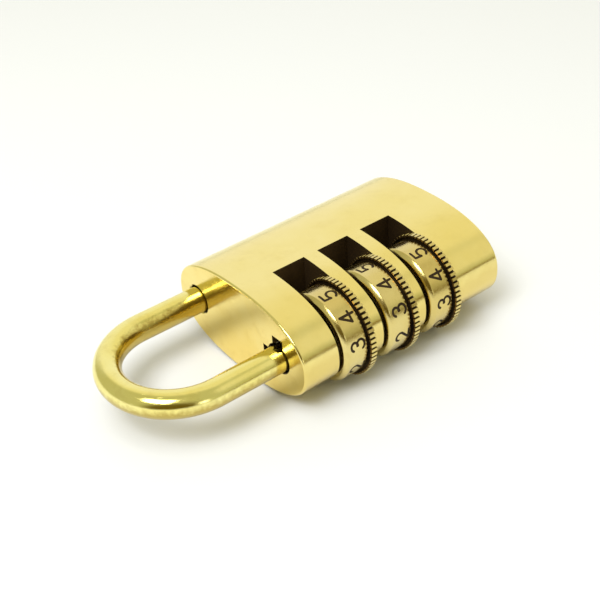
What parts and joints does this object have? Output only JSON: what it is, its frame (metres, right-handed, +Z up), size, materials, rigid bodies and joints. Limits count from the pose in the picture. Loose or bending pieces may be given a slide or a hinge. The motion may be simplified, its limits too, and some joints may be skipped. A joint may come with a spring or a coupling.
{
  "type": "combination padlock",
  "caption": "Small brass combination padlock with a round-sided case, knurled number dials set in side slots and a lifting U-shaped shackle.",
  "frame": {"origin": "under the centre of the whole lock, on the surface it lies on", "axes": "+Z up out of the front face, +Y along the lock towards the shackle, the dials stand out of the -X side"},
  "size_m": [0.0264, 0.0491, 0.0124],
  "materials": {
    "case_brass": "polished",
    "shackle_brass": "polished",
    "dial_brass": "satin, digits filled dark",
    "sleeve_steel": "plain",
    "spring_steel": "plain"
  },
  "bodies": {
    "case": {"case_body": "case_brass", "base_plug": "case_brass", "spring_seat": "spring_steel", "click_strip": "spring_steel", "wave_washer_1": "spring_steel", "wave_washer_2": "spring_steel", "wave_washer_3": "spring_steel"},
    "shackle": {"shackle": "shackle_brass", "stop_washer": "spring_steel", "retaining_ring": "spring_steel", "lift_spring": "spring_steel"},
    "dial_1": {"number_dial_1": "dial_brass", "code_sleeve_1": "sleeve_steel", "snap_ring_1": "spring_steel"},
    "dial_2": {"number_dial_2": "dial_brass", "code_sleeve_2": "sleeve_steel", "snap_ring_2": "spring_steel"},
    "dial_3": {"number_dial_3": "dial_brass", "code_sleeve_3": "sleeve_steel", "snap_ring_3": "spring_steel"}
  },
  "joints": [
    {"name": "shackle_lift", "type": "slide", "parent": "case", "child": "shackle", "axis": [0, 1, 0], "range_m": [0, 0.0053], "deforming": ["lift_spring"]},
    {"name": "dial_1_spin", "type": "hinge", "parent": "case", "child": "dial_1", "pos_m": [-0.00698, -0.0012, 0.0062], "axis": [0, 1, 0], "continuous": true, "deforming": ["click_strip"]},
    {"name": "dial_2_spin", "type": "hinge", "parent": "case", "child": "dial_2", "pos_m": [-0.00698, -0.00795, 0.0062], "axis": [0, 1, 0], "continuous": true, "deforming": ["click_strip"]},
    {"name": "dial_3_spin", "type": "hinge", "parent": "case", "child": "dial_3", "pos_m": [-0.00698, -0.0147, 0.0062], "axis": [0, 1, 0], "continuous": true, "deforming": ["click_strip"]}
  ]
}
